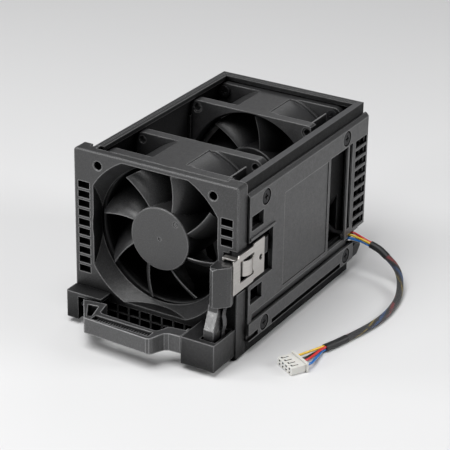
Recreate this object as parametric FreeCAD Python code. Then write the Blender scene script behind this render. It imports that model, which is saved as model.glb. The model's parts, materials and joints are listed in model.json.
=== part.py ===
import FreeCAD, Part
import os, math
from FreeCAD import Vector

os.makedirs("parts", exist_ok=True)

# ----------------------------------------------------------------------------
# Dual fan module: two 80 mm axial fans in line in a moulded carrier with a
# pull handle, a squeeze latch and a lead with a 2 x 4 connector.
# Layout numbers are in drawing units (U); one U is K millimetres.  The fans,
# screws, pins and wires are dimensioned directly in millimetres.
# ----------------------------------------------------------------------------
K = 1.02                      # mm per layout unit (fan hole pitch 71.5 mm over 70.1 U)
X0, Y0, Z0 = 1.1, 54.75, -98.5  # layout point that becomes the origin (bottom centre)

BEZEL_HALF = 50.0             # half width of the front bezel
BEZEL_T = 8.7                 # thickness of the bezel along Y
FLOOR_Z = -98.5               # resting plane
DECK_TOP = -42.6 - 40 / K     # deck under the fans
WALL_L, WALL_R = -41.4, 48.8  # outer faces of the left and right walls
BACK_Y = 139.0                # rear face of the carrier
FAN_X, FAN_Z = 0.0, -42.6     # fan axis
FAN1_Y, FAN2_Y = 11.5, 98.8   # front flange planes of the two fans

FAN_SIZE = 80.0               # mm, square flange
FAN_DEPTH = 38.0              # mm
FAN_HOLES = 71.5              # mm, hole pitch
FLANGE_T = 6.0                # mm
BORE_R = 38.2                 # mm, duct radius
TIP_R = 37.2                  # mm, blade tip radius
HUB_R = 18.1                  # mm
SHAFT_R = 1.5                 # mm
WIRE_D = 1.35                 # mm
SLEEVE_D = 3.9                # mm
SHRINK_D = 4.3                # mm


def P(x, y, z):
    return Vector((x - X0) * K, (y - Y0) * K, (z - Z0) * K)


def bx(x0, x1, y0, y1, z0, z1):
    return Part.makeBox(abs(x1 - x0) * K, abs(y1 - y0) * K, abs(z1 - z0) * K,
                        P(min(x0, x1), min(y0, y1), min(z0, z1)))


def cyl(x, y, z, r_mm, l_mm, d):
    return Part.makeCylinder(r_mm, l_mm, P(x, y, z), Vector(*d))


def prism(pts, axis, a, b):
    """Closed outline in the plane normal to axis, pushed from a to b (layout units)."""
    if axis == "x":
        v = [P(a, p[0], p[1]) for p in pts]
        d = Vector((b - a) * K, 0, 0)
    elif axis == "y":
        v = [P(p[0], a, p[1]) for p in pts]
        d = Vector(0, (b - a) * K, 0)
    else:
        v = [P(p[0], p[1], a) for p in pts]
        d = Vector(0, 0, (b - a) * K)
    w = Part.makePolygon(v + [v[0]])
    return Part.Face(w).extrude(d)


def fuse(*s):
    a = s[0]
    if len(s) > 1:
        a = a.multiFuse(list(s[1:]))
    return a.removeSplitter()


def cut(a, *s):
    if not s:
        return a
    t = s[0] if len(s) == 1 else s[0].multiFuse(list(s[1:]))
    return a.cut(t)


def one(a):
    """The single solid of a shape."""
    s = a.Solids
    assert len(s) == 1, "expected one solid, got %d" % len(s)
    return s[0]


NODES = {}


def node(name, shape, count=1):
    sol = shape.Solids
    if len(sol) != count:
        for k in sol:
            print(name, round(k.Volume, 2), k.BoundBox)
        raise RuntimeError("%s has %d solids, wanted %d" % (name, len(sol), count))
    for s in sol:
        if not s.isValid():
            raise RuntimeError(name + " is not valid")
    out = sol[0] if count == 1 else Part.makeCompound(sol)
    NODES[name] = out
    out.exportStep("parts/" + name + ".step")


def rounded_rect(x0, x1, z0, z1, r, ya, yb):
    """Plate in XZ with rounded corners, thickness along Y, layout units."""
    s = bx(x0, x1, ya, yb, z0, z1)
    e = [k for k in s.Edges
         if abs(k.Vertexes[0].X - k.Vertexes[1].X) < 1e-6 and abs(k.Vertexes[0].Z - k.Vertexes[1].Z) < 1e-6]
    return s.makeFillet(r * K, e)


# ============================ front bezel ===================================
OPEN_Z = -42.4
plate = rounded_rect(-BEZEL_HALF, BEZEL_HALF, FLOOR_Z, 0, 1.8, 0, BEZEL_T)
fe = [e for e in plate.Edges if all(abs(v.Y - P(0, 0, 0).y) < 1e-6 for v in e.Vertexes)]
try:
    plate = plate.makeFillet(0.7 * K, fe)
except Exception:
    pass
cone = Part.makeCone(44.6 * K, 38.6 * K, BEZEL_T * K, P(0, 0, OPEN_Z), Vector(0, 1, 0))
flat = bx(-38, 38, -1, BEZEL_T + 1, -82.5, -2.6)
mouth = cone.common(flat)
bore = cyl(0, -1, OPEN_Z, 38.55 * K, (BEZEL_T + 2) * K, (0, 1, 0))
cuts = [mouth, bore]
for i in range(10):
    zt = -18.4 - 5.45 * i
    cuts.append(bx(-47.5, -40.4, -1, BEZEL_T + 1, zt - 3.8, zt))
for i in range(3):
    zt = -18.2 - 5.6 * i
    cuts.append(bx(40.0, 46.8, -1, BEZEL_T + 1, zt - 4.0, zt))
# lower grille: two rows of square openings
for i in range(8):
    for j in range(2):
        xa = -29.6 + 7.0 * i
        cuts.append(bx(xa - 0.2, xa + 5.7, -1, BEZEL_T + 1, -89.5 - 5.0 * j, -85.3 - 5.0 * j))
# notch for the latch
cuts.append(bx(41.6, 51, -1, BEZEL_T + 1, -59.6, -36.9))
cuts.append(bx(45.2, 51, -1, BEZEL_T + 1, -37.0, -35.2))
# rear relief beside the left rail and inner lightening pocket at the base
cuts.append(bx(-43.6, -41.4, 6.2, BEZEL_T + 1, -3.0, 1))
cuts.append(bx(-38.8, 40.4, 4.6, BEZEL_T + 1, -3.8, 1))
bosses = []
HX = FAN_HOLES / 2 / K
for sx in (-1, 1):
    for sz in (-1, 1):
        bosses.append(cyl(FAN_X + sx * HX, BEZEL_T, FAN_Z + sz * HX, 3.7, (FAN1_Y - BEZEL_T) * K, (0, 1, 0)))
bez = fuse(plate, *bosses)
for sx in (-1, 1):
    cuts.append(cyl(FAN_X + sx * HX, -1, FAN_Z + HX, 2.3, 4.5, (0, 1, 0)))
    for sz in (-1, 1):
        cuts.append(cyl(FAN_X + sx * HX, 2.3, FAN_Z + sz * HX, 1.95, 14, (0, 1, 0)))
bez = cut(bez, *cuts)
# countersinks round the two visible holes
for sx in (-1, 1):
    c = Part.makeCone(2.75, 2.2, 0.55, P(FAN_X + sx * HX, 0, FAN_Z + HX), Vector(0, 1, 0))
    bez = bez.cut(c)
node("front_bezel", bez)

# ============================ carrier =======================================
T = 2.3
TL = 2.1
parts = [
    bx(WALL_L, WALL_L + TL, BEZEL_T, BACK_Y, FLOOR_Z, 0),                       # left wall
    bx(WALL_R - T, WALL_R, BEZEL_T, BACK_Y, FLOOR_Z, 0),                       # right wall
    bx(WALL_L, WALL_R, BEZEL_T, BACK_Y, FLOOR_Z, FLOOR_Z + 2.4),               # bottom
    bx(WALL_L, WALL_R, BEZEL_T, BACK_Y, DECK_TOP - 2.3, DECK_TOP),             # deck
    bx(WALL_L + TL - 0.2, -36.6, BEZEL_T, BACK_Y, -2.6, 0),                     # left rail lip
    bx(45.0, WALL_R, BEZEL_T, BACK_Y, -6.0, 0),                                # right rail
    bx(WALL_L, WALL_R, 133.6, BACK_Y, -2.6, 0),                                # rear crossbar
    bx(WALL_L - 1.9, WALL_L + 0.2, 16, 132, -71.5, -68.5),                     # guide rail, left
    bx(WALL_L - 1.9, WALL_L + 0.2, 16, 132, -30.5, -27.5),                     # guide rail, left
    # fan locating ribs, right side
    bx(39.5, WALL_R, 50.0, 51.8, DECK_TOP - 0.1, -60.0),
    bx(39.5, WALL_R, 95.6, 97.4, DECK_TOP - 0.1, -60.0),
    bx(WALL_L, -37.4, 50.0, 51.8, DECK_TOP - 0.1, -12.0),
    bx(WALL_L, -37.4, 95.6, 97.4, DECK_TOP - 0.1, -12.0),
    # retaining tab in the latch pocket
    bx(46.4, 49.6, 27.6, 31.6, -47.6, -38.6),
    # standing ribs between bottom and deck
    bx(-20, -18.4, 12, 136, FLOOR_Z + 1, DECK_TOP - 1),
    bx(18.4, 20, 12, 136, FLOOR_Z + 1, DECK_TOP - 1),
]
car = fuse(*parts)
cc = [
    bx(45, WALL_R + 1, BEZEL_T - 1, 27.6, -58.4, -33.4),          # latch pocket, front part
    bx(46.2, WALL_R + 1, 27.6, 34.2, -38.6, -33.4),               # latch pocket, above tab
    bx(46.2, WALL_R + 1, 27.6, 34.2, -58.4, -47.6),               # latch pocket, below tab
    bx(45, WALL_R + 1, 11.5, 23.7, -27.8, -19.6),                 # square hole, upper
    bx(45, WALL_R + 1, 11.3, 23.4, -69.8, -61.0),                 # square hole, lower
    bx(45, WALL_R + 1, 97.0, 123.4, -75.7, -18.6),                # side window
    bx(45, WALL_R + 1, 124.3, 135.4, -72.0, -18.4),               # behind the side vents
    bx(43.5, WALL_R + 1, 121.6, 130.0, -81.0, -73.9),             # lead exit
    bx(WALL_L - 3, WALL_L + TL + .5, 100, 130, -66, -34),          # left wall vent window
    bx(-36, 40, BEZEL_T - 1, 10.5, -95.6, -84.4),
    bx(40.9, 45.4, 49.5, 98.0, DECK_TOP, -77.2),                  # lead passes through the ribs
    # rear lower openings
    bx(-34, -22, 130, BACK_Y + 1, -95.5, -84.6),
    bx(-16, 16, 130, BACK_Y + 1, -95.5, -84.6),
    bx(22, 40, 130, BACK_Y + 1, -95.5, -84.6),
]
car = cut(car, *cc)
# open lower rear corner with a small wedge foot left standing
foot = prism([(126.9, -90.2), (126.9, -84.0), (130.5, -82.8), (136.8, -84.6), (137.0, -86.2), (133.0, -90.2)], "x", 46.5, 48.8)
foot_out = prism([(127.0, -90.2), (127.0, -84.0), (130.5, -82.8), (136.8, -84.6), (137.0, -86.2), (133.0, -90.2)], "x", 48.8, 51.9)
car = car.cut(bx(44.9, WALL_R + 1, 127.2, BACK_Y + 1, FLOOR_Z - 1, -77.0)).fuse([foot, foot_out]).removeSplitter()
# long shallow line along the left rail and top of the crossbar
car = cut(car, bx(-39.4, -39.1, BEZEL_T + 1, 135.5, -0.5, 1), bx(-39.4, 46.4, 135.9, 136.2, -0.5, 1))
SCREWS = [(26.2, -13.7), (115.6, -13.2), (25.4, -85.6), (118.3, -85.4)]
for (y, z) in SCREWS:
    car = car.fuse(cyl(44.6, y, z, 3.3, 2.4 * K, (1, 0, 0))).cut(cyl(42.0, y, z, 1.75, 12, (1, 0, 0)))
for sx in (-1, 1):
    car = car.cut(cyl(sx * 30, 60, FLOOR_Z - 1, 2.0, 6, (0, 0, 1)))
node("carrier", one(car) if len(car.Solids) == 1 else car)

# ============================ right side panel ==============================
PX, PL = 51.4, 52.3           # main face and lower rail face
y0p, y1p = 9.3, 141.5
main = prism([(y0p, -8.4), (y1p, -8.4), (y1p, -73.6), (121.4, -73.6), (121.4, -80.0), (126.8, -80.0), (126.8, -90.4), (y0p, -90.4)],
             "x", WALL_R, PX)
ledge = prism([(WALL_R, -6.3), (49.6, -6.5), (PX, -8.4), (PX, -9.0), (WALL_R, -9.0)], "y", y0p, y1p)
rail = prism([(PX - .2, -79.8), (PL, -80.2), (PL, -90.4), (PX - .2, -90.4)], "y", y0p, 126.8)
pan = fuse(main, ledge, rail)
try:
    ee = [e for e in pan.Edges if abs(e.Vertexes[0].Y - P(0, y1p, 0).y) < 1e-6 and abs(e.Vertexes[-1].Y - P(0, y1p, 0).y) < 1e-6
          and abs(e.Vertexes[0].X - P(PX, 0, 0).x) < 1e-6 and abs(e.Vertexes[-1].X - P(PX, 0, 0).x) < 1e-6]
    pan2 = pan.makeFillet(0.6, ee)
    if pan2.isValid() and len(pan2.Solids) == 1:
        pan = pan2
except Exception:
    pass
pc = [
    bx(48, 54, y0p - 1, 34.2, -58.3, -33.5),                    # latch pocket, open to the front
    bx(48, 54, 11.5, 23.7, -27.8, -19.6),
    bx(48, 54, 11.3, 23.4, -69.8, -61.0),
    bx(48, 54, 97.0, 117.6, -75.7, -18.6),                      # window
    bx(48, 50.3, 95.6, 138.0, -72.6, -17.7),                    # thinned from inside
    bx(48, 54, 119.2, 122.9, -69.6, -18.2),                     # vertical groove
    bx(50.2, 54, 13.0, 126.9, -79.8, -75.7),                    # recess above the lower rail
    bx(PL - 1.6, PL + 1, 33.4, 111.8, -90.0, -87.3),            # long slot
    bx(PL - 1.6, PL + 1, y0p - 1, 19.0, -89.8, -86.9),          # short slot
    bx(PX - 0.35, PX + 1, 46, 94.6, -73.2, -19.2),              # shallow field beside the window
]
for i in range(9):
    zt = -18.8 - 6.08 * i
    pc.append(bx(48, 54, 126.4, 138.0, zt - 4.35, zt))
    pc.append(bx(50.3, 54, 137.9, 139.7, zt - 4.35, zt))
pan = cut(pan, *pc)
# raised lip over the latch pocket
lip = prism([(PX - .3, -30.6), (PX + .9, -31.2), (PX + .9, -32.2), (PX - .3, -33.4)], "y", y0p + .6, 35.4)
pan = fuse(pan, lip)
for (y, z) in SCREWS:
    face = PL if z < -80 else PX
    pan = pan.cut(cyl(face - 1.4, y, z, 4.5, 5, (1, 0, 0)))
    pan = pan.cut(cyl(47.5, y, z, 1.9, 6, (1, 0, 0)))
node("right_side_panel", pan)

# cross-head screws of the panel
def cross_screw(x, y, z):
    """Flat round head at x (outer face), shank towards -X."""
    h = cyl(x - 1.4, y, z, 3.9, 1.25, (1, 0, 0))
    try:
        h = h.makeFillet(0.35, [e for e in h.Edges if e.Vertexes[0].X > P(x, 0, 0).x - 0.4])
    except Exception:
        pass
    s = cyl(x - 1.4, y, z, 1.7, 6.4, (-1, 0, 0))
    a = fuse(h, s)
    c1 = Part.makeBox(1.0, 4.0, 0.95, P(x, y, z) + Vector(-1.05, -2.0, -0.475))
    c2 = Part.makeBox(1.0, 0.95, 4.0, P(x, y, z) + Vector(-1.05, -0.475, -2.0))
    return a.cut(c1.fuse(c2))

sc = []
for (y, z) in SCREWS:
    face = PL if z < -80 else PX
    sc.append(cross_screw(face - 0.0, y, z))
node("panel_screws", Part.makeCompound(sc), 4)

# ============================ rear grille ===================================
GY = FAN2_Y + FAN_DEPTH / K
g = bx(WALL_L + TL, WALL_R - T, GY, BACK_Y - 0.1, DECK_TOP, -2.6)
gc = []
nx, nz = 11, 11
px_, pz_ = 7.1, 6.9
gx0 = FAN_X - (nx * px_ - 1.5) / 2
gz0 = FAN_Z - (nz * pz_ - 1.5) / 2
for i in range(nx):
    for j in range(nz):
        cx_ = gx0 + i * px_ + 2.8
        cz_ = gz0 + j * pz_ + 2.7
        r = math.hypot(cx_ - FAN_X, cz_ - FAN_Z)
        if r < 37.5 and r > 9.5:
            gc.append(bx(gx0 + i * px_, gx0 + i * px_ + 5.6, 135, 140, gz0 + j * pz_, gz0 + j * pz_ + 5.4))
g = cut(g, *gc)
g = g.cut(bx(44.9, 47, 135, 140, -6.0, -2))
for sx in (-1, 1):
    for sz in (-1, 1):
        g = g.cut(cyl(FAN_X + sx * HX, 135, FAN_Z + sz * HX, 1.95, 8, (0, 1, 0)))
node("rear_grille", g)

# ============================ left bracket ==================================
PIV_Y, PIV_Z = -5.5, -87.5    # handle axis
lb = fuse(bx(-50, -42.3, -9.4, 0, -95.2, -79.7),
          bx(-50, -27.7, -9.4, 0, -81.7, -79.7),
          bx(-50, -27.7, -1.3, 0, -95.2, -79.7))
lb = cut(lb, cyl(-48.0, PIV_Y, PIV_Z, 1.25, 8, (1, 0, 0)))
lb = cut(lb, bx(-34.5, -27.0, -2, 0.5, -95.3, -84.0))
try:
    ed = [e for e in lb.Edges if abs(e.Vertexes[0].Y - P(0, -9.4, 0).y) < 1e-6 and abs(e.Vertexes[-1].Y - P(0, -9.4, 0).y) < 1e-6
          and abs(e.Vertexes[0].X - P(-50, 0, 0).x) < 1e-6 and abs(e.Vertexes[-1].X - P(-50, 0, 0).x) < 1e-6]
    l2 = lb.makeFillet(1.0, ed)
    if l2.isValid():
        lb = l2
except Exception:
    pass
node("handle_bracket", lb)

# ============================ latch block ===================================
LPX, LPZ = 43.4, -88.0        # lever axis
rb = bx(29.4, 49.2, -21.0, 0, -95.2, -79.7)
rb = cut(rb, bx(38.9, 47.9, -17.7, -1.3, -93.4, -79.0),
         bx(31.4, 37.2, -19.0, -1.3, -96, -82.2),
         cyl(29.0, PIV_Y, PIV_Z, 1.25, 5.0, (1, 0, 0)),
         cyl(LPX, -19.8, LPZ, 1.5, 19.2 * K, (0, 1, 0)))
node("latch_block", rb)

# ============================ latch lever ===================================
pad_pts = [(40.6, -4.4), (41.4, -12.4), (42.4, -14.4), (44.4, -15.3), (50.0, -9.9), (51.2, -7.9), (50.4, -4.4)]
pad = prism(pad_pts, "z", -62.2, -40.0)
# sloped finger face at the top and bottom of the paddle
pad = pad.cut(prism([(-16, -40.0), (-16, -41.2), (-13.6, -40.0)], "x", 40, 52))
pad = pad.cut(prism([(-16, -62.2), (-16, -61.2), (-13.6, -62.2)], "x", 40, 52))
arm = prism([(-16.6, -91.0), (-16.6, -74.6), (-12.6, -65.4), (-12.3, -62.0), (-5.2, -62.0), (-7.2, -68.5), (-9.2, -76.0), (-9.8, -91.0)],
            "x", 40.4, 46.2)
lev = fuse(pad, arm)
lev = lev.cut(cyl(LPX, -21, LPZ, 1.55, 22, (0, 1, 0)))
# seat for the folded front edge of the plate
lev = lev.cut(bx(44.8, 52, -6.9, -5.9, -56.4, -41.0))
node("latch_lever", lev)
node("latch_pin", cyl(LPX, -19.75, LPZ, 1.5, 19.1 * K, (0, 1, 0)))

# ============================ latch plate ===================================
PA, PB = 51.25, 52.05         # plate thickness span in X
pl = prism([(-6.9, -37.5), (-6.9, -56.4), (12.8, -56.2), (13.4, -55.3), (24.0, -55.3), (24.0, -35.0), (13.0, -35.0), (12.6, -36.1), (-1.6, -36.1), (-2.0, -37.5)],
           "x", PA, PB)
pl = cut(pl, bx(50, 53, -0.4, 13.6, -51.9, -39.8), cyl(50.5, 20.5, -45.4, 1.7, 3, (1, 0, 0)))
edge = bx(45.0, PA + .1, -6.85, -5.95, -56.3, -41.1)           # folded front edge, set in the paddle
tab = bx(43.2, PA + .1, -3.9, -0.5, -38.6, -37.8)              # folded upper tab
tabd = bx(43.2, 44.0, -3.9, -0.5, -39.6, -37.8)
# curled tongue at the rear of the window
ton_c = (49.9, 8.6)
outer, inner = [], []
for i in range(13):
    a = math.radians(12 + i * 13.5)
    outer.append((ton_c[0] + 3.0 * math.sin(a), ton_c[1] + 4.7 * math.cos(a)))
    inner.append((ton_c[0] + 2.3 * math.sin(a), ton_c[1] + 4.0 * math.cos(a)))
ring_pts = outer + inner[::-1]
ton = prism(ring_pts, "z", -50.2, -41.6)
root_ = bx(PA - 0.75, PB, 12.6, 14.2, -50.2, -41.6)
plate_ = fuse(pl, edge, tab, tabd, ton, root_)
node("latch_plate", plate_)

# return leaf beside the lever
leaf_c = [(46.9, -93.4), (46.9, -84.0), (46.7, -78.0), (47.6, -74.0), (47.5, -71.0), (46.9, -68.5), (47.2, -66.0), (48.0, -63.6)]
lo = [(p[0] - 0.28, p[1]) for p in leaf_c]
hi = [(p[0] + 0.28, p[1]) for p in leaf_c]
leaf = prism(lo + hi[::-1], "y", -9.4, -6.2)
node("lever_return_leaf", leaf)

# ============================ pull handle ===================================
top, bot = -79.95, -90.2
h_pts = [(-36.2, -13.4), (-25.3, -28.8), (-24.8, -29.6), (-23.9, -30.1), (15.0, -31.9), (16.6, -31.2), (17.6, -29.6), (19.0, -25.2), (20.2, -22.4), (22.2, -21.1),
         (29.0, -20.6), (29.0, -13.3), (19.6, -14.6), (18.2, -15.6), (16.0, -21.2), (14.4, -22.3), (-18.6, -21.3), (-20.4, -20.2), (-22.6, -11.2)]
hb = prism(h_pts, "z", bot, top)
hb = hb.cut(prism([(-20, -92), (-20, -89.1), (-22, -89.1), (-34, -88.7), (-34, -92)], "x", -27.5, 14.0))
# grip groove in the top of the bar, with cross ribs
hb = hb.cut(bx(-20.5, 14.8, -29.2, -24.7, top - 2.2, top + 1))
ribs = [bx(-20.6 + 1.6 * i, -20.6 + 1.6 * i + 0.6, -29.3, -24.6, top - 2.3, top - 1.7) for i in range(1, 22)]
hb = fuse(hb, *ribs)
# window in the left arm
hb = hb.cut(prism([(-30.9, -16.5), (-25.0, -15.6), (-22.9, -22.6), (-21.8, -26.9), (-24.2, -27.5)], "z", top - 6.5, top + 1))
# clear sweep under the shelf, and hinge lugs
hb = hb.cut(prism([(14.0, -93), (14.0, -88.75), (20.0, -89.9), (30, -89.9), (30, -93)], "y", -34, -15.0))
sweep = cyl(-50, PIV_Y, PIV_Z, 8.95 * K, (50 - 27.2) * K, (1, 0, 0))
hb = hb.cut(sweep)
web_l = bx(-35.5, -28.4, -14.0, PIV_Y, -92.4, -89.8)
web_lf = bx(-35.5, -28.4, -14.6, -14.0 + .3, -92.4, -87.9)
knl = cyl(-39.4, PIV_Y, PIV_Z, 3.4 * K, (39.4 - 28.4) * K, (1, 0, 0))
web_l2 = prism([(PIV_Y, -92.4), (PIV_Y, -88.5), (PIV_Y + 2.6, -89.4), (PIV_Y + 1.2, -92.2)], "x", -35.5, -28.4)
lug_r = prism([(-14.2, -90.2), (-14.2, -85.0), (PIV_Y, PIV_Z + 3.4), (PIV_Y, PIV_Z - 3.4)], "x", 23.8, 29.0)
knr = cyl(23.8, PIV_Y, PIV_Z, 3.4 * K, 5.2 * K, (1, 0, 0))
hb = fuse(hb, web_l, web_lf, knl, web_l2, lug_r, knr)
hb = hb.cut(cyl(-45, PIV_Y, PIV_Z, 1.3, 80, (1, 0, 0)))
node("pull_handle", hb)
node("handle_pin_left", cyl(-47.9, PIV_Y, PIV_Z, 1.25, (47.9 - 28.6) * K, (1, 0, 0)))
node("handle_pin_right", cyl(24.0, PIV_Y, PIV_Z, 1.25, 9.6 * K, (1, 0, 0)))


# ============================ fans ==========================================
def L(y_plane, x, y, z):
    """Local fan point in mm: axis along +Y, origin on the axis in the front flange plane."""
    b = P(FAN_X, y_plane, FAN_Z)
    return Vector(b.x + x, b.y + y, b.z + z)


def fcyl(yp, r, ya, yb, x=0.0, z=0.0):
    return Part.makeCylinder(r, yb - ya, L(yp, x, ya, z), Vector(0, 1, 0))


def fbox(yp, x0, x1, ya, yb, z0, z1):
    return Part.makeBox(x1 - x0, yb - ya, z1 - z0, L(yp, x0, ya, z0))


def fan_frame(yp):
    h = FAN_SIZE / 2
    def flange(ya, yb):
        s = fbox(yp, -h, h, ya, yb, -h, h)
        e = [k for k in s.Edges if abs(k.Vertexes[0].X - k.Vertexes[1].X) < 1e-6 and abs(k.Vertexes[0].Z - k.Vertexes[1].Z) < 1e-6]
        return s.makeFillet(4.5, e)
    f1, f2 = flange(0, FLANGE_T), flange(FAN_DEPTH - FLANGE_T, FAN_DEPTH)
    duct = fcyl(yp, 41.8, FLANGE_T - .1, FAN_DEPTH - FLANGE_T + .1).common(fbox(yp, -h, h, 0, FAN_DEPTH, -h, h))
    # shallow recess in the duct's upper right, between two rims
    ring = fcyl(yp, 44, FLANGE_T + 1.3, FAN_DEPTH - FLANGE_T - 1.6).cut(fcyl(yp, 40.3, 0, FAN_DEPTH))
    dn = [ring.common(fbox(yp, 8.0, 35.0, 0, FAN_DEPTH, 15.0, 45.0)), ring.common(fbox(yp, -45, -15, 0, FAN_DEPTH, -45, -8))]
    body = fuse(f1, f2, duct)
    body = cut(body, *dn)
    body = body.cut(fcyl(yp, BORE_R, -1, FAN_DEPTH + 1))
    # shallow flare at the inlet side
    body = body.cut(Part.makeCone(39.3 + .39, BORE_R, 4.4, L(yp, 0, -1, 0), Vector(0, 1, 0)))
    # motor base, struts and bearing tube
    base = fcyl(yp, 17.4, 33.0, 37.4)
    st = []
    for k in range(5):
        s = fbox(yp, -1.5, 1.5, 33.6, 37.4, 15.5, 38.9)
        s.rotate(L(yp, 0, 0, 0), Vector(0, 1, 0), 20 + 72 * k)
        st.append(s)
    tube = fcyl(yp, 5.2, 11.0, 33.2).fuse(fcyl(yp, 6.4, 27.0, 31.8))
    body = fuse(body, base, tube, *st)
    body = body.cut(fcyl(yp, 3.2, 10.0, 34.6).fuse([fcyl(yp, 4.0, 10.0, 15.6), fcyl(yp, 4.0, 27.0, 34.6)]))
    q = FAN_HOLES / 2
    for sx in (-1, 1):
        for sz in (-1, 1):
            body = body.cut(fcyl(yp, 2.15, -1, FAN_DEPTH + 1, sx * q, sz * q))
            body = body.cut(fcyl(yp, 3.1, -1, 0.5, sx * q, sz * q))
    # lead notch in the front flange and the rib that holds the lead
    body = body.cut(fbox(yp, 38.1, 41, -1, FLANGE_T + .1, 31.0, 41))
    rib = fbox(yp, 35.2, 36.1, FLANGE_T - .2, 22.0, 20.5, h)
    rib = rib.cut(fcyl(yp, 3.9, FLANGE_T - 1, FLANGE_T + 3.4, q, q))
    body = fuse(body, rib)
    return body


def blade(yp, theta, y_le_root, y_le_tip, y_te, chord_deg=32.0, sweep=15.5, sign=1):
    """Swept blade; sign +1 has its leading edge on the anticlockwise side seen from the front."""
    th0 = theta - 8.0
    e_r = Vector(math.cos(math.radians(th0)), 0, math.sin(math.radians(th0)))
    e_t = Vector(-math.sin(math.radians(th0)), 0, math.cos(math.radians(th0)))
    wires = []
    for rp in (15.5, 21.0, 27.0, 33.0, 38.2):
        u = (rp - 18.5) / 18.5
        d_le = 8.0 + sweep * max(-0.15, u)
        d_te = d_le - chord_deg + 2.0 * u
        t_le = rp * math.tan(math.radians(d_le))
        t_te = rp * math.tan(math.radians(d_te))
        y_le = y_le_root + (y_le_tip - y_le_root) * min(1.0, max(0.0, u))
        th = 1.5 - 0.45 * u
        cam = []
        for s in (0.0, 0.2, 0.45, 0.72, 1.0):
            cam.append((t_le + (t_te - t_le) * s, y_le + (y_te - y_le) * (0.30 * s + 0.70 * s * s)))
        up, dn = [], []
        for k, (t, y) in enumerate(cam):
            a = cam[max(0, k - 1)]
            b = cam[min(4, k + 1)]
            tx, ty = b[0] - a[0], b[1] - a[1]
            n = math.hypot(tx, ty)
            nx_, ny_ = -ty / n, tx / n
            hh = th / 2 * (0.4, 0.9, 1.0, 0.9, 0.45)[k]
            up.append((t + nx_ * hh, y + ny_ * hh))
            dn.append((t - nx_ * hh, y - ny_ * hh))
        def V3(p):
            return L(yp, 0, p[1], 0) + e_r * rp + e_t * (p[0] * sign)
        cu, cd = Part.BSplineCurve(), Part.BSplineCurve()
        cu.interpolate([V3(p) for p in up])
        cd.interpolate([V3(p) for p in dn[::-1]])
        w = Part.Wire([cu.toShape(), Part.makeLine(V3(up[-1]), V3(dn[-1])), cd.toShape(), Part.makeLine(V3(dn[0]), V3(up[0]))])
        wires.append(w)
    b = Part.makeLoft(wires, True, False)
    ring = fcyl(yp, TIP_R, -20, 40).cut(fcyl(yp, 17.2, -21, 41))
    b = b.common(ring)
    sol = sorted(b.Solids, key=lambda s: -s.Volume)
    return sol[0]


def impeller(yp, hf, phase, n, y_te):
    hub = fcyl(yp, HUB_R, hf, 31.0)
    try:
        e = [k for k in hub.Edges if abs(k.Vertexes[0].Y - L(yp, 0, hf, 0).y) < 1e-6 and k.Length > 50]
        hub = hub.makeFillet(0.6, e)
    except Exception:
        pass
    hub = hub.cut(fcyl(yp, 16.55, hf + 1.9, 32))
    boss = fcyl(yp, 3.3, hf + 1.8, hf + 6.5)
    hub = fuse(hub, boss)
    hub = hub.cut(fcyl(yp, SHAFT_R + 0.01, hf + 1.9, hf + 8))
    hub = hub.cut(fcyl(yp, 0.95, hf - 1, hf + 0.35))
    # small moulded mark near the rim
    mark = fcyl(yp, 1.5, hf - 1, hf + 0.25, 9.8, 10.8).cut(fcyl(yp, 1.0, hf - 1, hf + 1, 9.8, 10.8))
    hub = hub.cut(mark)
    bl = [blade(yp, phase + 360.0 / n * k, hf + 0.9, hf + 2.2, y_te) for k in range(n)]
    a = fuse(hub, *bl)
    return a


def stator(yp):
    core = fcyl(yp, 7.6, 15.0, 27.0)
    tt = []
    for k in range(9):
        t = fbox(yp, -1.1, 1.1, 15.0, 27.0, 7.0, 12.4)
        t.rotate(L(yp, 0, 0, 0), Vector(0, 1, 0), 40 * k)
        shoe = fcyl(yp, 13.1, 15.0, 27.0).cut(fcyl(yp, 12.0, 14, 28))
        w = Part.makePolygon([L(yp, 0, 0, 0), L(yp, 30 * math.sin(math.radians(-15)), 0, 30 * math.cos(math.radians(15))),
                              L(yp, 30 * math.sin(math.radians(15)), 0, 30 * math.cos(math.radians(15))), L(yp, 0, 0, 0)])
        shoe = shoe.common(Part.Face(w).extrude(Vector(0, 40, 0)))
        shoe.rotate(L(yp, 0, 0, 0), Vector(0, 1, 0), 40 * k)
        tt += [t, shoe]
    core = fuse(core, *tt)
    core = core.cut(fcyl(yp, 5.22, 14, 28))
    coils = []
    for k in range(9):
        c = fbox(yp, -2.2, 2.2, 13.8, 28.2, 7.9, 11.7).cut(fbox(yp, -1.1, 1.1, 15.0, 27.0, 7.0, 12.4))
        try:
            c = c.makeFillet(0.5, [e for e in c.Edges if abs(e.Vertexes[0].Z - e.Vertexes[-1].Z) > 3 and e.Length > 3 and abs(abs(e.Vertexes[0].X - L(yp, 0, 0, 0).x) - 2.2) < 0.01])
        except Exception:
            pass
        c.rotate(L(yp, 0, 0, 0), Vector(0, 1, 0), 40 * k)
        coils.append(c)
    return core, coils


def bearing(yp, ya):
    r = fcyl(yp, 3.98, ya, ya + 4.0).cut(fcyl(yp, SHAFT_R + 0.04, ya - 1, ya + 5))
    g1 = fcyl(yp, 3.3, ya - 1, ya + 0.3).cut(fcyl(yp, 2.2, ya - 2, ya + 1))
    g2 = fcyl(yp, 3.3, ya + 3.7, ya + 5).cut(fcyl(yp, 2.2, ya + 3, ya + 6))
    return r.cut(g1).cut(g2)


def board(yp):
    b = fcyl(yp, 15.6, 31.8, 33.0).cut(fcyl(yp, 5.25, 31, 34))
    chips = [fbox(yp, 7, 11, 30.7, 31.9, -2.2, 2.2), fbox(yp, -10.5, -8.5, 30.9, 31.9, 1, 3.6), fbox(yp, -2, 2, 30.9, 31.9, 8, 9.6),
             fbox(yp, -11, -8, 30.9, 31.9, -6, -4.4)]
    return fuse(b, *chips)


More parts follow.
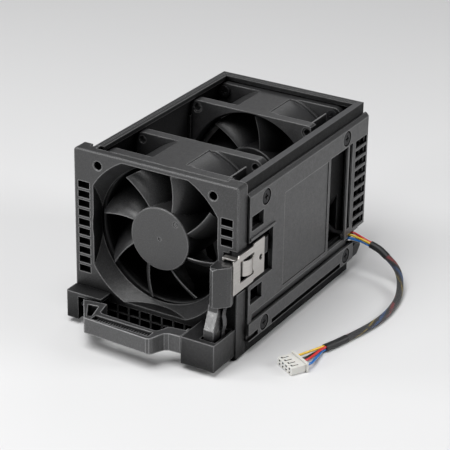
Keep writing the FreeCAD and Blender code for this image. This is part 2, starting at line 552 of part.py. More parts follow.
for tag, yp, hf, ph, nb, yte in (("front", FAN1_Y, -6.6, 23.5, 8, 19.5), ("rear", FAN2_Y, 1.2, 31.0, 8, 26.0)):
    node(tag + "_fan_frame", fan_frame(yp))
    node(tag + "_impeller", impeller(yp, hf, ph, nb, yte))
    yk = fcyl(yp, 16.5, hf + 1.9, 30.4).cut(fcyl(yp, 15.0, hf + 3.0, 13.5)).cut(fcyl(yp, 15.4, 13.4, 31)).cut(fcyl(yp, 3.9, hf + 1, hf + 4))
    node(tag + "_rotor_yoke", yk)
    node(tag + "_magnet_ring", fcyl(yp, 15.37, 13.4, 29.5).cut(fcyl(yp, 13.6, 12, 31)))
    node(tag + "_shaft", fcyl(yp, SHAFT_R, hf + 1.9, 33.6))
    node(tag + "_shaft_clip", fcyl(yp, 2.7, 31.35, 31.85).cut(fcyl(yp, SHAFT_R, 31, 32)))
    node(tag + "_bearing_front", bearing(yp, 11.6))
    node(tag + "_bearing_rear", bearing(yp, 27.0))
    core, coils = stator(yp)
    node(tag + "_stator_core", core)
    node(tag + "_stator_coils", Part.makeCompound(coils), 9)
    node(tag + "_driver_board", board(yp))

# ============================ fan screws ====================================
q = FAN_HOLES / 2
fs = []
for sx in (-1, 1):
    for sz in (-1, 1):
        h = fcyl(FAN1_Y, 3.5, FLANGE_T, FLANGE_T + 2.2, sx * q, sz * q)
        s = fcyl(FAN1_Y, 1.9, -6.3, FLANGE_T + 0.1, sx * q, sz * q)
        slot = fbox(FAN1_Y, sx * q - 1.8, sx * q + 1.8, FLANGE_T + 1.2, FLANGE_T + 3, sz * q - .4, sz * q + .4)
        slot2 = fbox(FAN1_Y, sx * q - .4, sx * q + .4, FLANGE_T + 1.2, FLANGE_T + 3, sz * q - 1.8, sz * q + 1.8)
        fs.append(fuse(h, s).cut(slot.fuse(slot2)))
node("front_fan_screws", Part.makeCompound(fs), 4)
fs = []
for sx in (-1, 1):
    for sz in (-1, 1):
        ya = FAN_DEPTH - FLANGE_T
        h = fcyl(FAN2_Y, 3.5, ya - 2.2, ya, sx * q, sz * q)
        s = fcyl(FAN2_Y, 1.9, ya - 0.1, FAN_DEPTH + 2.6, sx * q, sz * q)
        slot = fbox(FAN2_Y, sx * q - 1.8, sx * q + 1.8, ya - 3, ya - 1.2, sz * q - .4, sz * q + .4)
        slot2 = fbox(FAN2_Y, sx * q - .4, sx * q + .4, ya - 3, ya - 1.2, sz * q - 1.8, sz * q + 1.8)
        fs.append(fuse(h, s).cut(slot.fuse(slot2)))
node("rear_fan_screws", Part.makeCompound(fs), 4)


# ============================ leads and cord ================================
def tube_path(pts, dia, name=None, show=True):
    """Round tube of diameter dia (mm) along straight runs joined by tangent arcs.
    pts are layout points."""
    v = [P(*p) for p in pts]
    n = len(v)
    edges = []
    start = v[0]
    radii = []
    for i in range(1, n - 1):
        a, b, c = v[i - 1], v[i], v[i + 1]
        d1, d2 = (b - a), (c - b)
        l1, l2 = d1.Length, d2.Length
        d1.normalize(); d2.normalize()
        ang = math.acos(max(-1, min(1, d1.dot(d2))))
        t = 0.45 * min(l1, l2)
        r = t / math.tan(ang / 2)
        radii.append(round(r, 1))
        p1, p2 = b - d1 * t, b + d2 * t
        if (p1 - start).Length > 1e-6:
            edges.append(Part.LineSegment(start, p1).toShape())
        bis = (d2 - d1); bis.normalize()
        centre = b + bis * (r / math.cos(ang / 2))
        mid = centre - bis * r
        edges.append(Part.Arc(p1, mid, p2).toShape())
        start = p2
    edges.append(Part.LineSegment(start, v[-1]).toShape())
    path = Part.Wire(edges)
    d0 = v[1] - v[0]
    d0.normalize()
    prof = Part.Wire([Part.makeCircle(dia / 2, v[0], d0)])
    sh = path.makePipeShell([prof], True, False, 1)
    if not sh.Solids:
        sh = Part.Solid(sh)
    want = math.pi * dia * dia / 4 * path.Length
    if show:
        print("%s length %.1f mm radii %s volume ratio %.3f" % (name, path.Length, radii, sh.Volume / want))
    return sh, path.Length


# free cord, braided sleeve between the two shrink tubes
CORD = [(74.1, 127.0, -84.05), (79.2, 126.2, -86.9), (84.4, 122.4, -90.4), (88.6, 115.4, -94.2), (91.9, 105.6, -96.45),
        (94.0, 92.8, -96.55), (94.3, 81.2, -96.55), (93.0, 69.6, -96.55), (90.9, 59.6, -96.55), (88.4, 50.4, -96.55)]
SH1 = [(62.9, 128.4, -79.7), (68.4, 127.894, -80.865), CORD[0]]
SH2 = [CORD[-1], (86.275, 42.58, -96.55), (83.9, 34.6, -96.2)]
sl, _ = tube_path(CORD, SLEEVE_D, "cord_sleeve")
node("cord_sleeve", sl)


def straight(p, q_, d1):
    a, b = P(*p), P(*q_)
    return Part.makeCylinder(d1 / 2, (b - a).Length, a, b - a)


# shrink tubes follow the first and last directions of the sleeve
def unit(a, b):
    v = P(*b) - P(*a)
    v.normalize()
    return v


s1, _ = tube_path(SH1, SHRINK_D, "shrink_tube_inner")
node("shrink_tube_inner", s1)
s2, _ = tube_path(SH2, SHRINK_D, "shrink_tube_outer")
node("shrink_tube_outer", s2)

# wires between the carrier and the inner shrink tube: red, yellow, blue, black
def basis(a, b):
    d = unit(a, b)
    e1 = d.cross(Vector(0, 0, 1))
    e1.normalize()
    return d, e1, e1.cross(d)


def off(p, base, phi, back=0.0, rad=0.985):
    """Point beside p, rad (layout units) from the axis at angle phi, moved back along it."""
    d, e1, e2 = base
    c, w = math.cos(math.radians(phi)) * rad, math.sin(math.radians(phi)) * rad
    return tuple(p[i] + (e1[i] * c + e2[i] * w) - d[i] * back for i in range(3))


B1 = basis(SH1[0], SH1[1])
W_EXIT = {
    "lead_wire_red": ([(46.6, 127.5, -75.2), (51.6, 128.5, -75.0)], 135),
    "lead_wire_yellow": ([(46.6, 125.4, -75.6), (51.4, 126.0, -75.6)], 45),
    "lead_wire_blue": ([(46.6, 124.2, -77.2), (51.4, 125.0, -77.4)], -45),
    "lead_wire_black": ([(47.3, 127.0, -78.4), (51.4, 127.6, -78.6)], -135),
}
for nm, (w, phi) in W_EXIT.items():
    t, _ = tube_path(w + [off(SH1[0], B1, phi, 5.2), off(SH1[0], B1, phi)], WIRE_D, nm)
    node(nm, t)

# connector, lying on the surface
CC = (78.0, 10.1)
CA = math.radians(-29.5)
ca, sa = math.cos(CA), math.sin(CA)


def C(u, v, z):
    """u across the connector, v towards the wires, layout units."""
    return (CC[0] + u * ca - v * sa, CC[1] + u * sa + v * ca, z)


def cbox(u0, u1, v0, v1, z0, z1):
    pts = [C(u0, v0, z0), C(u1, v0, z0), C(u1, v1, z0), C(u0, v1, z0)]
    v = [P(*p) for p in pts]
    return Part.Face(Part.makePolygon(v + [v[0]])).extrude(Vector(0, 0, (z1 - z0) * K))


zb, zt = FLOOR_Z, -93.9
con = fuse(cbox(-6.9, 6.9, -4.8, 5.0, zb + 0.2, zt), cbox(-7.5, 7.5, 4.0, 5.2, zb, zt + 0.95))
ch = []
for i in range(4):
    u = -4.8 + 3.2 * i
    for zc in (-97.1, -95.1):
        ch.append(cbox(u - 0.65, u + 0.65, -6, 4.0, zc - 0.55, zc + 0.55))
        ch.append(cbox(u - 0.9, u + 0.9, 3.4, 6, zc - 0.95, zc + 0.9))
    ch.append(cbox(u - 0.33, u + 0.33, -3.6, 0.6, zt - 0.95, zt + 1))
    ch.append(cbox(u - 1.2, u + 0.33, -3.6, -2.7, zt - 0.95, zt + 1))
con = cut(con, *ch)
node("connector_housing", con)
cts = []
for i in range(4):
    u = -4.8 + 3.2 * i
    cts.append(cbox(u - 0.5, u + 0.5, -4.0, 3.4, -95.45, -94.7))
node("connector_contacts", Part.makeCompound(cts), 4)

WCOL = [("yellow", -4.8, 45), ("black", -1.6, -45), ("red", 1.6, 135), ("blue", 4.8, -135)]
B2 = basis(SH2[-2], SH2[-1])
E2 = SH2[-1]
for nm, u, phi in WCOL:
    a = off(E2, B2, phi)
    m1 = off(E2, B2, phi, -2.6)
    c_ = C(u, 3.5, -95.1)
    m2 = C(u, 8.4, -94.8 if phi > 0 else -95.6)
    t, _ = tube_path([a, m1, m2, c_], WIRE_D, "plug_wire_" + nm)
    node("plug_wire_" + nm, t)

# inner leads, each from its fan's rim along the right channel to the exit
il, _ = tube_path([(42.3, 30.0, -70.0), (42.6, 36.0, -75.6), (43.0, 48.0, -79.0), (42.7, 72.0, -79.5), (43.0, 96.0, -79.4), (43.2, 112.0, -79.2), (43.3, 119.0, -78.9), (43.7, 123.6, -78.4), (45.6, 127.0, -78.1)],
                  2.6, "front_fan_lead")
node("front_fan_lead", il)
il2, _ = tube_path([(41.4, 112.0, -62.0), (41.6, 114.2, -67.0), (42.2, 118.0, -71.6), (43.4, 122.2, -74.3), (45.6, 125.4, -75.6)], 2.6, "rear_fan_lead")
node("rear_fan_lead", il2)

bb = None
for n_, s_ in NODES.items():
    if n_.startswith(("cord_", "shrink_", "lead_wire", "connector", "plug_wire")):
        continue
    bb = s_.BoundBox if bb is None else bb.united(s_.BoundBox)
print("object box without the cord", bb)
print(len(NODES), "nodes")
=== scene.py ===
import bpy, json, math, os
from mathutils import Matrix, Vector


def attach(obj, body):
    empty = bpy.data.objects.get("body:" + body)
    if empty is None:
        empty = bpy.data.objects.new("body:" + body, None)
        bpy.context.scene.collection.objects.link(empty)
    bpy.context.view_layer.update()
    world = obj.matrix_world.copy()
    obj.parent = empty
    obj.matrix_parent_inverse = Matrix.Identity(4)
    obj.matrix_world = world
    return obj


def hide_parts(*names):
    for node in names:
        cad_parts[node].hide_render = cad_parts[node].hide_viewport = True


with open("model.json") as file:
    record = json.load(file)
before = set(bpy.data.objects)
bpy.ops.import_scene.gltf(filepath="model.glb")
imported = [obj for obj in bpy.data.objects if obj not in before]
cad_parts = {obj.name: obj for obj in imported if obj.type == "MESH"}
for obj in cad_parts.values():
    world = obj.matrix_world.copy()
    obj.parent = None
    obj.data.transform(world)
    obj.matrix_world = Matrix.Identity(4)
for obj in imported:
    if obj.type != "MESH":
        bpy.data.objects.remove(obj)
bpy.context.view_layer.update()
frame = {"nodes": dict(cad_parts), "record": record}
nodes = frame["nodes"]
scene = bpy.context.scene

K = 1.02
X0, Y0, Z0 = 1.1, 54.75, -98.5


def P(x, y, z):
    return Vector(((x - X0) * K / 1000, (y - Y0) * K / 1000, (z - Z0) * K / 1000))


# ------------------------------------------------------------- camera
AZ, EL, ROLL = math.radians(30.366), math.radians(25.25), math.radians(0.95)
back = Vector((math.sin(AZ) * math.cos(EL), -math.cos(AZ) * math.cos(EL), math.sin(EL)))
right = Vector((math.cos(AZ), math.sin(AZ), 0))
up = back.cross(right)
r2 = right * math.cos(ROLL) + up * math.sin(ROLL)
u2 = -right * math.sin(ROLL) + up * math.cos(ROLL)
cd = bpy.data.cameras.new("camera")
cam = bpy.data.objects.new("camera", cd)
scene.collection.objects.link(cam)
cd.sensor_width = 36
cd.sensor_fit = "HORIZONTAL"
cd.lens = 148.83
cd.clip_start, cd.clip_end = 0.01, 20
loc = P(470.486, -730.851, 377.802)
cam.matrix_world = Matrix(((r2.x, u2.x, back.x, loc.x), (r2.y, u2.y, back.y, loc.y), (r2.z, u2.z, back.z, loc.z), (0, 0, 0, 1)))
scene.camera = cam


# ------------------------------------------------------------- materials
class Mat:
    """Small helper round a node tree."""

    def __init__(self, name):
        self.m = bpy.data.materials.new(name)
        self.m.use_nodes = True
        self.t = self.m.node_tree
        self.b = self.t.nodes["Principled BSDF"]
        self.tc = self.t.nodes.new("ShaderNodeTexCoord")

    def n(self, kind, **kw):
        x = self.t.nodes.new("ShaderNode" + kind)
        for k, v in kw.items():
            setattr(x, k, v)
        return x

    def link(self, a, b):
        self.t.links.new(a, b)

    def val(self, sock, v):
        if hasattr(v, "is_linked") or hasattr(v, "links"):
            self.link(v, sock)
        else:
            sock.default_value = v

    def mapping(self, scale, src=None, rot=(0, 0, 0)):
        mp = self.n("Mapping")
        mp.inputs["Scale"].default_value = scale if hasattr(scale, "__len__") else (scale,) * 3
        mp.inputs["Rotation"].default_value = rot
        self.link(src or self.tc.outputs["Object"], mp.inputs["Vector"])
        return mp.outputs["Vector"]

    def noise(self, scale, detail=3.0, rough=0.5, vec=None, dist=0.0):
        x = self.n("TexNoise")
        x.inputs["Scale"].default_value = scale
        x.inputs["Detail"].default_value = detail
        x.inputs["Roughness"].default_value = rough
        x.inputs["Distortion"].default_value = dist
        self.link(vec or self.tc.outputs["Object"], x.inputs["Vector"])
        return x.outputs["Fac"]

    def rng(self, src, a, b, c=0.0, d=1.0, smooth=False):
        x = self.n("MapRange")
        if smooth:
            x.interpolation_type = "SMOOTHSTEP"
        self.link(src, x.inputs["Value"])
        x.inputs["From Min"].default_value = a
        x.inputs["From Max"].default_value = b
        x.inputs["To Min"].default_value = c
        x.inputs["To Max"].default_value = d
        return x.outputs["Result"]

    def math(self, op, a, b=0.0, c=0.0):
        x = self.n("Math", operation=op)
        self.val(x.inputs[0], a)
        self.val(x.inputs[1], b)
        if len(x.inputs) > 2:
            self.val(x.inputs[2], c)
        return x.outputs[0]

    def mix(self, fac, a, b):
        x = self.n("Mix", data_type="RGBA")
        self.val(x.inputs[0], fac)
        self.val(x.inputs[6], a if hasattr(a, "links") else (*a, 1) if len(a) == 3 else a)
        self.val(x.inputs[7], b if hasattr(b, "links") else (*b, 1) if len(b) == 3 else b)
        return x.outputs[2]

    def bump(self, h, strength, dist, normal=None):
        x = self.n("Bump")
        x.inputs["Strength"].default_value = strength
        x.inputs["Distance"].default_value = dist
        self.link(h, x.inputs["Height"])
        if normal is not None:
            self.link(normal, x.inputs["Normal"])
        return x.outputs["Normal"]

    def bevel(self, radius, samples=4):
        x = self.n("Bevel")
        x.samples = samples
        x.inputs["Radius"].default_value = radius
        return x.outputs["Normal"]

    def edge(self, radius=0.0006, samples=4):
        """1 on sharp convex or concave edges, 0 on flats."""
        bv = self.bevel(radius, samples)
        g = self.n("NewGeometry")
        d = self.n("VectorMath", operation="DOT_PRODUCT")
        self.link(bv, d.inputs[0])
        self.link(g.outputs["Normal"], d.inputs[1])
        return self.rng(d.outputs["Value"], 0.996, 0.965, 0.0, 1.0)


def plastic(name, col, rough=0.5, grain=1500, depth=0.00009, edge_col=None, edge_amt=0.35, bevel=0.00045, spec=0.5, mottle=0.22, wear=0.0, streak=0.0, reach=0.022, open_lo=0.14, open_hi=0.74, deep=0.10, duct=False, edge_r=0.0010, rail=False):
    """Moulded, spark-eroded plastic: fine grain, soft mottling and a little dust, with painted highlights on convex
    edges and painted shade in creases and recesses.
    """
    k = Mat(name)
    big = k.noise(38, 4, 0.6)
    mid = k.noise(420, 3, 0.6)
    fine = k.noise(grain, 3, 0.75)
    vor = k.n("TexVoronoi")
    vor.inputs["Scale"].default_value = grain * 0.62
    k.link(k.tc.outputs["Object"], vor.inputs["Vector"])
    dark = tuple(c * (1 - mottle) for c in col)
    lite = tuple(min(1, c * (1 + mottle)) for c in col)
    c1 = k.mix(k.rng(big, 0.32, 0.7), dark, lite)
    c2 = k.mix(k.math("MULTIPLY", k.rng(fine, 0.42, 0.66), 0.7), c1, tuple(min(1, c * 2.8 + 0.010) for c in col))
    e = k.edge(edge_r, 6)
    outside = None
    if duct:
        # distance from the fan's axis: 0 in the bore, 1 on the outside of the frame
        sp = k.n("SeparateXYZ")
        k.link(k.tc.outputs["Object"], sp.inputs[0])
        dx = k.math("SUBTRACT", sp.outputs[0], P(0, 0, -42.6).x)
        dz = k.math("SUBTRACT", sp.outputs[2], P(0, 0, -42.6).z)
        rad = k.math("SQRT", k.math("ADD", k.math("MULTIPLY", dx, dx), k.math("MULTIPLY", dz, dz)))
        outside = k.rng(rad, 0.0388, 0.0394)
        e = k.math("MULTIPLY", e, k.rng(rad, 0.0398, 0.0404))
    ec = edge_col or tuple(min(1, c * 4.5 + 0.27) for c in col)
    ao = k.n("AmbientOcclusion")
    ao.samples = 6
    ao.inputs["Distance"].default_value = reach
    near = k.n("AmbientOcclusion")
    near.samples = 6
    near.inputs["Distance"].default_value = 0.0035
    out = k.rng(near.outputs["AO"], 0.62, 0.90, 0.0, 1.0, smooth=True)
    # painted highlight: sharp convex edges that are open to the near AO are lightened towards ec, as if they catch the
    # light
    edge_highlight = k.math("MULTIPLY", k.math("MULTIPLY", e, out), k.rng(mid, 0.25, 0.75, 0.60, 1.0))
    c3 = k.mix(k.math("MULTIPLY", edge_highlight, edge_amt), c2, ec)
    # painted shade: sharp concave edges that are closed in by the near AO are darkened towards col*0.08
    crease_shade = k.math("MULTIPLY", e, k.math("SUBTRACT", 1.0, out))
    c3 = k.mix(k.math("MULTIPLY", crease_shade, 0.85), c3, tuple(c * 0.08 for c in col))
    # dust specks and hairline scuffs
    dust = k.rng(k.noise(900, 2, 0.8), 0.70, 0.78)
    c4 = k.mix(k.math("MULTIPLY", dust, 0.10), c3, (0.42, 0.42, 0.43))
    if streak:
        sv = k.mapping((18, 900, 18), rot=(0.3, 0.2, 0.6))
        sc = k.rng(k.noise(3.0, 2, 0.5, vec=sv), 0.69, 0.76)
        c4 = k.mix(k.math("MULTIPLY", sc, streak), c4, (0.30, 0.30, 0.31))
    # painted shade: the base colour darkens towards col*deep in recesses, read from ambient occlusion
    occ = k.rng(ao.outputs["AO"], open_lo, open_hi, deep * 0.6, 1.0, smooth=True)
    if rail:
        # the right top rail: painted light on its upward faces, painted shade down its outer side
        sr = k.n("SeparateXYZ")
        k.link(k.tc.outputs["Object"], sr.inputs[0])
        sn = k.n("SeparateXYZ")
        k.link(k.n("NewGeometry").outputs["Normal"], sn.inputs[0])
        up = k.rng(sn.outputs[2], 0.4, 0.6)
        high = k.rng(sr.outputs[2], P(0, 0, -6.5).z, P(0, 0, -6.2).z)
        right = k.rng(sr.outputs[0], P(44.6, 0, 0).x, P(45.0, 0, 0).x)
        on_rail = k.math("MULTIPLY", high, right)
        rail_side_shade = k.math("MULTIPLY", on_rail, k.math("SUBTRACT", 1.0, up))
        c4 = k.mix(k.math("MULTIPLY", rail_side_shade, 0.80), c4, tuple(c * 0.2 for c in col))
        c4 = k.mix(k.math("MULTIPLY", k.math("MULTIPLY", on_rail, up), 0.75), c4, tuple(c * 6.0 for c in col))
        occ_spec = k.math("MULTIPLY", occ, k.math("SUBTRACT", 1.0, k.math("MULTIPLY", rail_side_shade, 0.75)))
    else:
        occ_spec = occ
    if duct:
        # painted shade: the bore of the fan darkens with depth, the outside of the frame only a little
        soft = k.rng(ao.outputs["AO"], 0.02, 0.40, 0.25, 1.0, smooth=True)
        occ = k.math("ADD", k.math("MULTIPLY", outside, soft), k.math("MULTIPLY", k.math("SUBTRACT", 1.0, outside), occ))
        occ_spec = occ
    k.link(k.mix(occ, tuple(c * deep for c in col), c4), k.b.inputs["Base Color"])
    k.link(k.math("MULTIPLY", occ_spec, spec), k.b.inputs["Specular IOR Level"])
    rr = k.math("ADD", k.rng(mid, 0.3, 0.7, rough - 0.05, rough + 0.06), k.math("MULTIPLY", e, -0.08))
    k.link(rr, k.b.inputs["Roughness"])
    h = k.math("ADD", k.math("MULTIPLY", fine, 0.6), k.math("MULTIPLY", vor.outputs["Distance"], 0.5))
    k.link(k.bump(h, 0.55, depth, k.bevel(bevel, 4)), k.b.inputs["Normal"])
    return k.m


def metal(name, col, rough, scale=(60, 2400, 60), rot=(0, 0, 0), depth=0.00001, bevel=0.0003, aniso=0.0, spots=0.15, black=0.0):
    """Ground or rolled metal with fine directional grain, smudges and softened edges."""
    k = Mat(name)
    grain = k.noise(1.0, 3, 0.6, vec=k.mapping(scale, rot=rot))
    smudge = k.noise(70, 4, 0.6)
    c = k.mix(k.rng(grain, 0.3, 0.7), tuple(x * 0.86 for x in col), tuple(min(1, x * 1.06) for x in col))
    c = k.mix(k.math("MULTIPLY", k.rng(smudge, 0.5, 0.8), spots), c, tuple(x * 0.72 for x in col))
    e = k.edge(0.0004, 4)
    c = k.mix(k.math("MULTIPLY", e, 0.4), c, tuple(min(1, x * 1.25 + 0.05) for x in col))
    k.link(c, k.b.inputs["Base Color"])
    k.b.inputs["Metallic"].default_value = 1.0
    k.link(k.math("ADD", k.rng(grain, 0.25, 0.75, rough - 0.06, rough + 0.07), k.rng(smudge, 0.4, 0.8, 0.0, 0.08)), k.b.inputs["Roughness"])
    if aniso:
        k.b.inputs["Anisotropic"].default_value = aniso
    k.link(k.bump(grain, 0.4, depth, k.bevel(bevel, 4)), k.b.inputs["Normal"])
    return k.m


def gloss(name, col, rough=0.28, coat=0.25):
    """Extruded wire insulation: smooth, faint drawing lines and scuffs."""
    k = Mat(name)
    a = k.noise(220, 3, 0.6)
    b = k.noise(1500, 2, 0.6)
    c = k.mix(k.rng(a, 0.3, 0.75), tuple(x * 0.88 for x in col), tuple(min(1, x * 1.08 + 0.004) for x in col))
    c = k.mix(k.math("MULTIPLY", k.rng(b, 0.64, 0.76), 0.12), c, tuple(min(1, x * 0.6 + 0.2) for x in col))
    k.link(c, k.b.inputs["Base Color"])
    k.link(k.rng(a, 0.3, 0.7, rough - 0.04, rough + 0.08), k.b.inputs["Roughness"])
    k.b.inputs["Coat Weight"].default_value = coat
    k.b.inputs["Coat Roughness"].default_value = 0.12
    k.link(k.bump(b, 0.25, 0.00002), k.b.inputs["Normal"])
    return k.m


def nylon(name, col):
    k = Mat(name)
    a = k.noise(90, 3, 0.6)
    f = k.noise(2400, 2, 0.6)
    c = k.mix(k.rng(a, 0.3, 0.7), tuple(x * 0.93 for x in col), col)
    e = k.edge(0.0005, 4)
    c = k.mix(k.math("MULTIPLY", e, 0.45), c, (0.95, 0.94, 0.91))
    # painted shade: the base colour darkens towards col*0.10 in holes and recesses, read from ambient occlusion
    ao = k.n("AmbientOcclusion")
    ao.samples = 8
    ao.inputs["Distance"].default_value = 0.0022
    occ = k.rng(ao.outputs["AO"], 0.25, 0.72, 0.0, 1.0, smooth=True)
    k.link(k.mix(occ, tuple(x * 0.10 for x in col), c), k.b.inputs["Base Color"])
    k.link(k.rng(a, 0.3, 0.7, 0.34, 0.46), k.b.inputs["Roughness"])
    k.b.inputs["Subsurface Weight"].default_value = 0.18
    k.b.inputs["Subsurface Radius"].default_value = (0.0012, 0.0010, 0.0008)
    k.b.inputs["Subsurface Scale"].default_value = 1.0
    k.link(k.bump(f, 0.25, 0.00003, k.bevel(0.0002, 4)), k.b.inputs["Normal"])
    return k.m


def board_mat(name):
    k = Mat(name)
    br = k.n("TexBrick")
    k.link(k.mapping(520), br.inputs["Vector"])
    br.inputs["Scale"].default_value = 1.0
    br.inputs["Mortar Size"].default_value = 0.06
    br.inputs["Color1"].default_value = (0.012, 0.09, 0.035, 1)
    br.inputs["Color2"].default_value = (0.014, 0.11, 0.045, 1)
    br.inputs["Mortar"].default_value = (0.03, 0.18, 0.08, 1)
    k.link(br.outputs["Color"], k.b.inputs["Base Color"])
    k.b.inputs["Roughness"].default_value = 0.3
    k.link(k.bump(br.outputs["Fac"], 0.3, 0.00004), k.b.inputs["Normal"])
    return k.m


def winding_mat(name):
    k = Mat(name)
    w = k.n("TexWave", wave_type="BANDS", bands_direction="Y")
    w.inputs["Scale"].default_value = 1500
    w.inputs["Distortion"].default_value = 0.6
    k.link(k.tc.outputs["Object"], w.inputs["Vector"])
    c = k.mix(w.outputs["Fac"], (0.30, 0.11, 0.04), (0.80, 0.40, 0.20))
    k.link(c, k.b.inputs["Base Color"])
    k.b.inputs["Metallic"].default_value = 0.8
    k.b.inputs["Roughness"].default_value = 0.3
    k.link(k.bump(w.outputs["Fac"], 0.6, 0.0001), k.b.inputs["Normal"])
    return k.m


def lamination_mat(name):
    k = Mat(name)
    w = k.n("TexWave", wave_type="BANDS", bands_direction="Y")
    w.inputs["Scale"].default_value = 620
    k.link(k.tc.outputs["Object"], w.inputs["Vector"])
    c = k.mix(w.outputs["Fac"], (0.16, 0.16, 0.17), (0.42, 0.42, 0.44))
    k.link(c, k.b.inputs["Base Color"])
    k.b.inputs["Metallic"].default_value = 1.0
    k.b.inputs["Roughness"].default_value = 0.4
    k.link(k.bump(w.outputs["Fac"], 0.5, 0.00008), k.b.inputs["Normal"])
    return k.m


def braid_mat(name, length, dia):
    """Open braid over four twisted wires, laid out along the tube's own run and girth."""
    k = Mat(name)
    uv = k.n("SeparateXYZ")
    k.link(k.tc.outputs["UV"], uv.inputs[0])
    u, v = uv.outputs[0], uv.outputs[1]
    L = length / dia  # run in diameters
    s = k.math("MULTIPLY", u, L * 4.6)
    g = k.math("MULTIPLY", v, 14.0)
    a = k.math("SINE", k.math("MULTIPLY", k.math("ADD", s, g), 2 * math.pi))
    b = k.math("SINE", k.math("MULTIPLY", k.math("SUBTRACT", s, g), 2 * math.pi))
    over = k.math("MAXIMUM", a, b)
    strand = k.rng(over, 0.05, 0.50, 0.0, 1.0, smooth=True)
    # fine filaments inside each strand
    fa = k.math("SINE", k.math("MULTIPLY", k.math("ADD", s, g), 2 * math.pi * 4))
    fb = k.math("SINE", k.math("MULTIPLY", k.math("SUBTRACT", s, g), 2 * math.pi * 4))
    fil = k.mix(k.math("GREATER_THAN", a, b), (0, 0, 0), (1, 1, 1))
    fm = k.n("Mix", data_type="FLOAT")
    k.link(fil, fm.inputs[0])
    k.link(fb, fm.inputs[2])
    k.link(fa, fm.inputs[3])
    fval = fm.outputs[0]
    # wires under the braid, twisting slowly
    tw = k.math("FRACT", k.math("ADD", k.math("MULTIPLY", v, 1.0), k.math("MULTIPLY", u, L * 0.085)))
    ramp = k.n("ValToRGB")
    ramp.color_ramp.interpolation = "CONSTANT"
    el = ramp.color_ramp.elements
    el[0].position, el[0].color = 0.0, (0.012, 0.012, 0.014, 1)
    el[1].position, el[1].color = 0.24, (0.55, 0.03, 0.035, 1)
    for pos, colr in ((0.40, (0.012, 0.012, 0.014, 1)), (0.52, (0.03, 0.14, 0.42, 1)), (0.66, (0.014, 0.014, 0.016, 1)), (0.78, (0.62, 0.44, 0.05, 1)), (0.86, (0.012, 0.012, 0.014, 1))):
        e2 = el.new(pos)
        e2.color = colr
    k.link(tw, ramp.inputs["Fac"])
    patch = k.rng(k.noise(2.2, 1, 0.5, vec=k.mapping((L * 0.30, 2, 1), src=k.tc.outputs["UV"])), 0.34, 0.50, 0.0, 1.0, smooth=True)
    under = k.mix(patch, (0.014, 0.014, 0.016), ramp.outputs["Color"])
    thread = k.mix(k.rng(fval, -0.5, 0.8), (0.006, 0.006, 0.007), (0.060, 0.061, 0.066))
    c = k.mix(strand, under, thread)
    k.link(c, k.b.inputs["Base Color"])
    k.b.inputs["Roughness"].default_value = 0.42
    k.b.inputs["Sheen Weight"].default_value = 0.15
    h = k.math("ADD", k.math("MULTIPLY", strand, 0.8), k.math("MULTIPLY", fval, 0.12))
    k.link(k.bump(h, 0.9, 0.00028), k.b.inputs["Normal"])
    return k.m


def shrink_mat(name):
    k = Mat(name)
    a = k.noise(160, 4, 0.6)
    f = k.noise(1600, 2, 0.6)
    r = k.noise(1.0, 3, 0.5, vec=k.mapping((240, 240, 240)))
    c = k.mix(k.rng(a, 0.3, 0.7), (0.008, 0.008, 0.009), (0.020, 0.020, 0.021))
    k.link(c, k.b.inputs["Base Color"])
    k.link(k.rng(a, 0.3, 0.7, 0.42, 0.58), k.b.inputs["Roughness"])
    k.link(k.bump(k.math("ADD", k.math("MULTIPLY", f, 0.4), r), 0.5, 0.00016), k.b.inputs["Normal"])
    return k.m


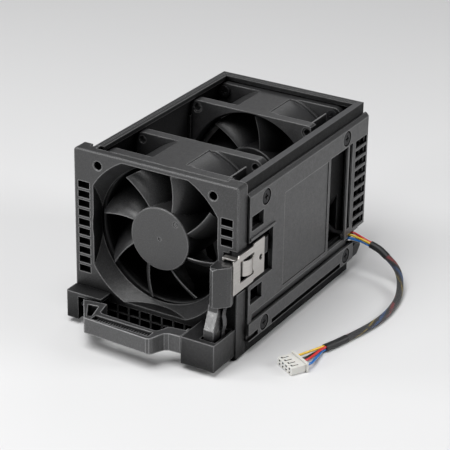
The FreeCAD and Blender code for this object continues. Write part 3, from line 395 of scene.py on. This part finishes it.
M = {
    "body_plastic": plastic("body_plastic", (0.0100, 0.0100, 0.0105), 0.46, bevel=0.0005, edge_amt=0.5, spec=0.45, streak=0.05, rail=True, reach=0.05, open_lo=0.30, open_hi=0.80, deep=0.06),
    # painted light: the right side panel gets a lighter plastic than the body, standing in for the light falling on
    # that side
    "panel_painted_light": plastic("panel_painted_light", (0.0185, 0.0185, 0.0192), 0.43, grain=1200, bevel=0.0005, edge_amt=0.45, spec=0.90, streak=0.08, reach=0.012, open_lo=0.40, open_hi=0.86, deep=0.04),
    "bezel_plastic": plastic("bezel_plastic", (0.0110, 0.0110, 0.0115), 0.43, grain=1250, bevel=0.0007, edge_amt=0.75, spec=0.72, streak=0.06, reach=0.035, open_lo=0.42, open_hi=0.93, deep=0.08),
    "fan_plastic": plastic("fan_plastic", (0.0160, 0.0160, 0.0166), 0.38, grain=1900, bevel=0.0004, edge_amt=0.5, spec=0.75, reach=0.055, open_lo=0.34, open_hi=0.92, deep=0.05, duct=True),
    "impeller_plastic": plastic("impeller_plastic", (0.0165, 0.0165, 0.0171), 0.36, grain=1500, depth=0.00008, bevel=0.0004, edge_amt=0.6, spec=0.85),
    # painted shade: a darker copy of the impeller plastic for the rear impeller, which sits deep in the duct
    "rear_impeller_painted_shade": plastic("rear_impeller_painted_shade", (0.0085, 0.0085, 0.0090), 0.42, grain=1800, depth=0.00006, bevel=0.0004, edge_amt=0.35, spec=0.5),
    "handle_plastic": plastic("handle_plastic", (0.0220, 0.0220, 0.0228), 0.42, grain=1250, bevel=0.0009, edge_amt=1.0, spec=1.0, streak=0.08),
    "lever_plastic": plastic("lever_plastic", (0.010, 0.010, 0.0105), 0.30, grain=1600, bevel=0.0006, edge_amt=0.9, spec=0.8, streak=0.05, edge_r=0.0006),
    "plate_steel": metal("plate_steel", (0.56, 0.54, 0.515), 0.34, scale=(60, 60, 2600), bevel=0.0003, spots=0.2),
    "spring_steel": metal("spring_steel", (0.15, 0.15, 0.155), 0.38),
    "screw_steel": metal("screw_steel", (0.036, 0.036, 0.038), 0.46, scale=(300, 300, 300)),
    "pin_steel": metal("pin_steel", (0.5, 0.5, 0.52), 0.28),
    "magnet": plastic("magnet", (0.05, 0.048, 0.047), 0.6),
    "bearing": metal("bearing", (0.62, 0.62, 0.64), 0.2),
    "laminations": lamination_mat("laminations"),
    "copper": winding_mat("copper"),
    "board": board_mat("board"),
    "shrink": shrink_mat("shrink"),
    "wire_red": gloss("wire_red", (0.66, 0.030, 0.032)),
    "wire_yellow": gloss("wire_yellow", (0.86, 0.56, 0.04)),
    "wire_blue": gloss("wire_blue", (0.010, 0.16, 0.52)),
    "wire_black": gloss("wire_black", (0.012, 0.012, 0.013)),
    "connector": nylon("connector", (0.74, 0.73, 0.69)),
    "contacts": metal("contacts", (0.72, 0.56, 0.28), 0.3),
}
slot_of = {s["node"]: s["material_slot"] for s in frame["record"]["subparts"]}
for n, o in nodes.items():
    s = slot_of[n]
    # painted light: the right side panel gets the lighter panel material
    if n == "right_side_panel":
        mat = M["panel_painted_light"]
    # painted shade: the rear impeller gets the darker copy of the impeller plastic
    elif n == "rear_impeller":
        mat = M["rear_impeller_painted_shade"]
    elif s == "sleeve":
        mat = M["shrink"]
    else:
        mat = M[s]
    o.data.materials.clear()
    o.data.materials.append(mat)

# ------------------------------------------------------------- cord
ROUTE = [(74.1, 127.0, -84.05), (79.2, 126.2, -86.9), (84.4, 122.4, -90.4), (88.6, 115.4, -94.2), (91.9, 105.6, -96.45),
         (94.0, 92.8, -96.55), (94.3, 81.2, -96.55), (93.0, 69.6, -96.55), (90.9, 59.6, -96.55), (88.4, 50.4, -96.55)]
SLEEVE_D = 0.0039


def run(name, pts, dia, mat, res=16):
    c = bpy.data.curves.new(name, "CURVE")
    c.dimensions = "3D"
    sp = c.splines.new("NURBS")
    sp.points.add(len(pts) - 1)
    for i, p in enumerate(pts):
        q = P(*p)
        sp.points[i].co = (q.x, q.y, q.z, 1)
    sp.order_u = 3
    sp.use_endpoint_u = True
    sp.resolution_u = res
    c.bevel_depth = dia / 2
    c.bevel_resolution = 7
    c.use_fill_caps = True
    o = bpy.data.objects.new(name, c)
    scene.collection.objects.link(o)
    c.materials.append(mat)
    return o


LEN = 0.0903
sleeve = run("braided_sleeve", ROUTE, SLEEVE_D, braid_mat("sleeve", LEN, SLEEVE_D))
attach(sleeve, "module")
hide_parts("cord_sleeve")

# ------------------------------------------------------------- floor and light
bpy.ops.mesh.primitive_plane_add(size=12, location=(0, 0, 0))
floor = bpy.context.object
floor.name = "floor"
fm = Mat("floor")
fn = fm.noise(2.2, 2, 0.5)
fm.link(fm.mix(fm.rng(fn, 0.2, 0.8), (0.70, 0.70, 0.705), (0.72, 0.72, 0.722)), fm.b.inputs["Base Color"])
fm.b.inputs["Roughness"].default_value = 0.75
fm.b.inputs["Specular IOR Level"].default_value = 0.25
floor.data.materials.append(fm.m)


def area(name, pos, target, size, energy, color=(1, 1, 1), sy=None):
    d = bpy.data.lights.new(name, "AREA")
    d.energy = energy
    d.size = size
    if sy:
        d.shape = "RECTANGLE"
        d.size_y = sy
    d.color = color
    o = bpy.data.objects.new(name, d)
    scene.collection.objects.link(o)
    o.location = pos
    o.rotation_euler = (Vector(target) - Vector(pos)).to_track_quat("-Z", "Y").to_euler()
    return o


area("key", (-0.08, -0.46, 1.25), (0.03, -0.03, 0.05), 1.0, 18.0)
area("front_left", (-0.57, -1.20, 0.345), (0.0, 0.0, 0.05), 0.36, 4.8)
area("left", (-1.15, -0.62, 0.52), (0.0, 0.0, 0.05), 0.40, 4.2)
area("back", (-0.35, 0.95, 0.85), (0.0, 0.05, 0.05), 0.5, 1.2)
area("right_side", (0.95, 0.35, 0.60), (0, 0.03, 0.05), 0.45, 4.9)
area("right_low", (1.1, -0.32, 0.36), (0.05, 0.03, 0.05), 0.35, 0.3)
w = bpy.data.worlds.new("studio")
scene.world = w
w.use_nodes = True
w.node_tree.nodes["Background"].inputs[0].default_value = (0.97, 0.98, 1.0, 1)
w.node_tree.nodes["Background"].inputs[1].default_value = 0.06
scene.view_settings.view_transform = "Standard"
scene.view_settings.look = "None"
